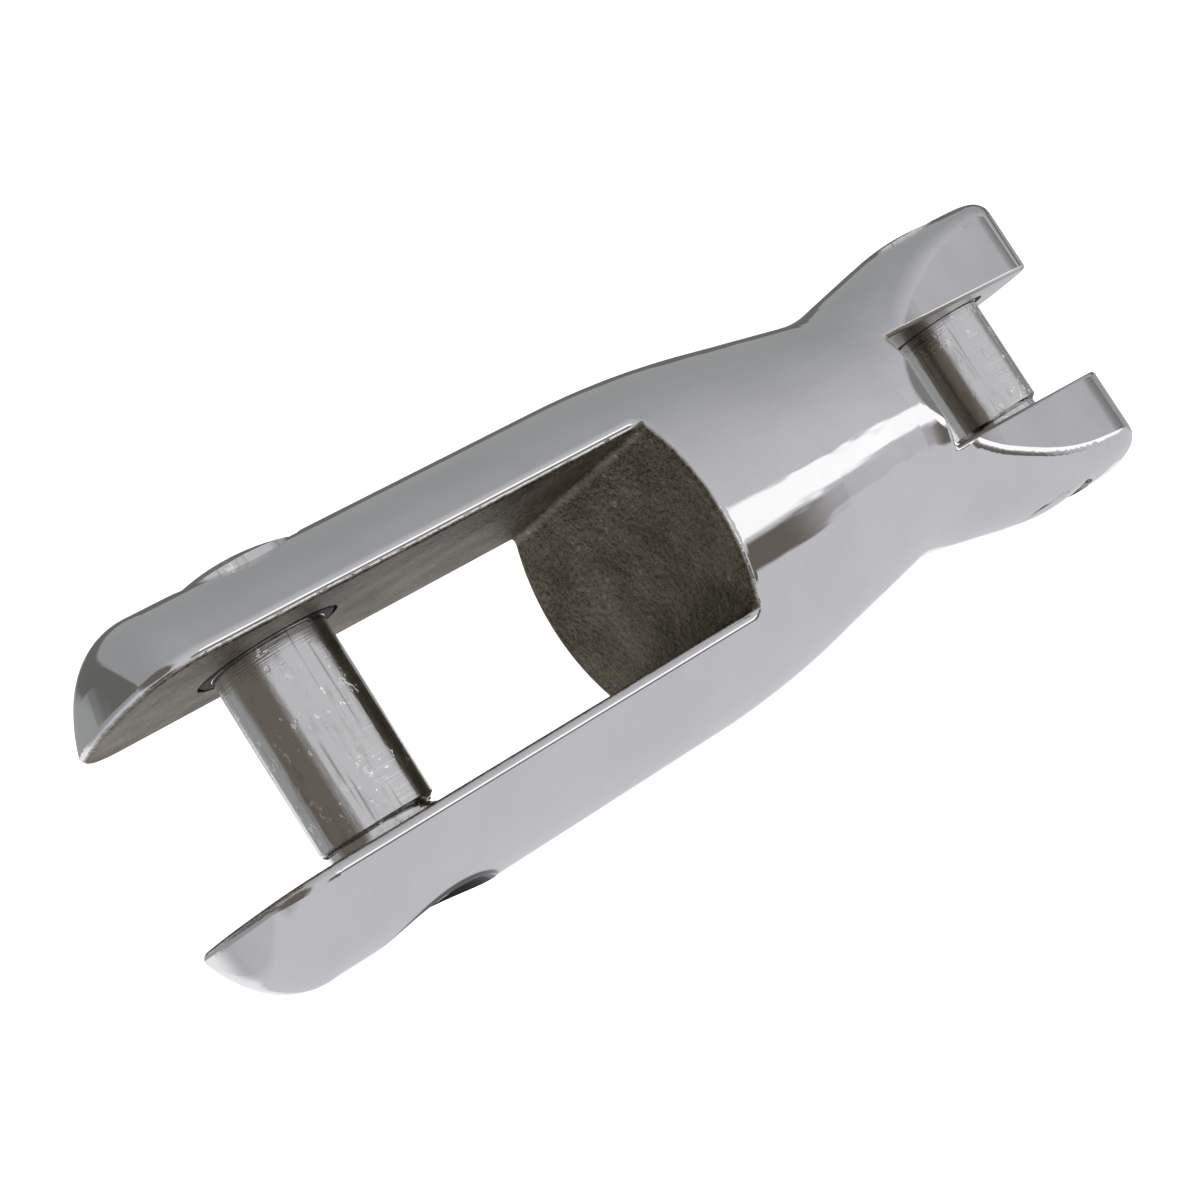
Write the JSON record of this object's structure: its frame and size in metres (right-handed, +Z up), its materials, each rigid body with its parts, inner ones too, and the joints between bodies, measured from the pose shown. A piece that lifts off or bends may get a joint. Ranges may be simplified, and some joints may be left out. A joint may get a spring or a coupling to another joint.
{
  "type": "anchor connector link",
  "caption": "Forked stainless link that joins an anchor's shank to a chain, with a wide jaw, a narrow jaw and a screw pin across each.",
  "frame": {"origin": "on the ground under the middle of the overall box, with the pins horizontal", "axes": "+X along the body towards the narrow jaw, +Y towards the pins' heads, +Z up"},
  "size_m": [0.1214, 0.0377, 0.0372],
  "materials": {
    "polished_body": "mirror-polished stainless steel outside, duller as-cast jaw walls",
    "turned_pin": "turned stainless steel with fine scratches"
  },
  "bodies": {
    "link": {"link_body": "polished_body"},
    "large_screw_pin": {"large_pin": "turned_pin"},
    "small_screw_pin": {"small_pin": "turned_pin"}
  },
  "joints": [
    {"name": "large_pin_slide", "type": "slide", "parent": "link", "child": "large_screw_pin", "axis": [0, 1, 0], "range_m": [0, 0.062]},
    {"name": "small_pin_slide", "type": "slide", "parent": "link", "child": "small_screw_pin", "axis": [0, 1, 0], "range_m": [0, 0.055]}
  ]
}
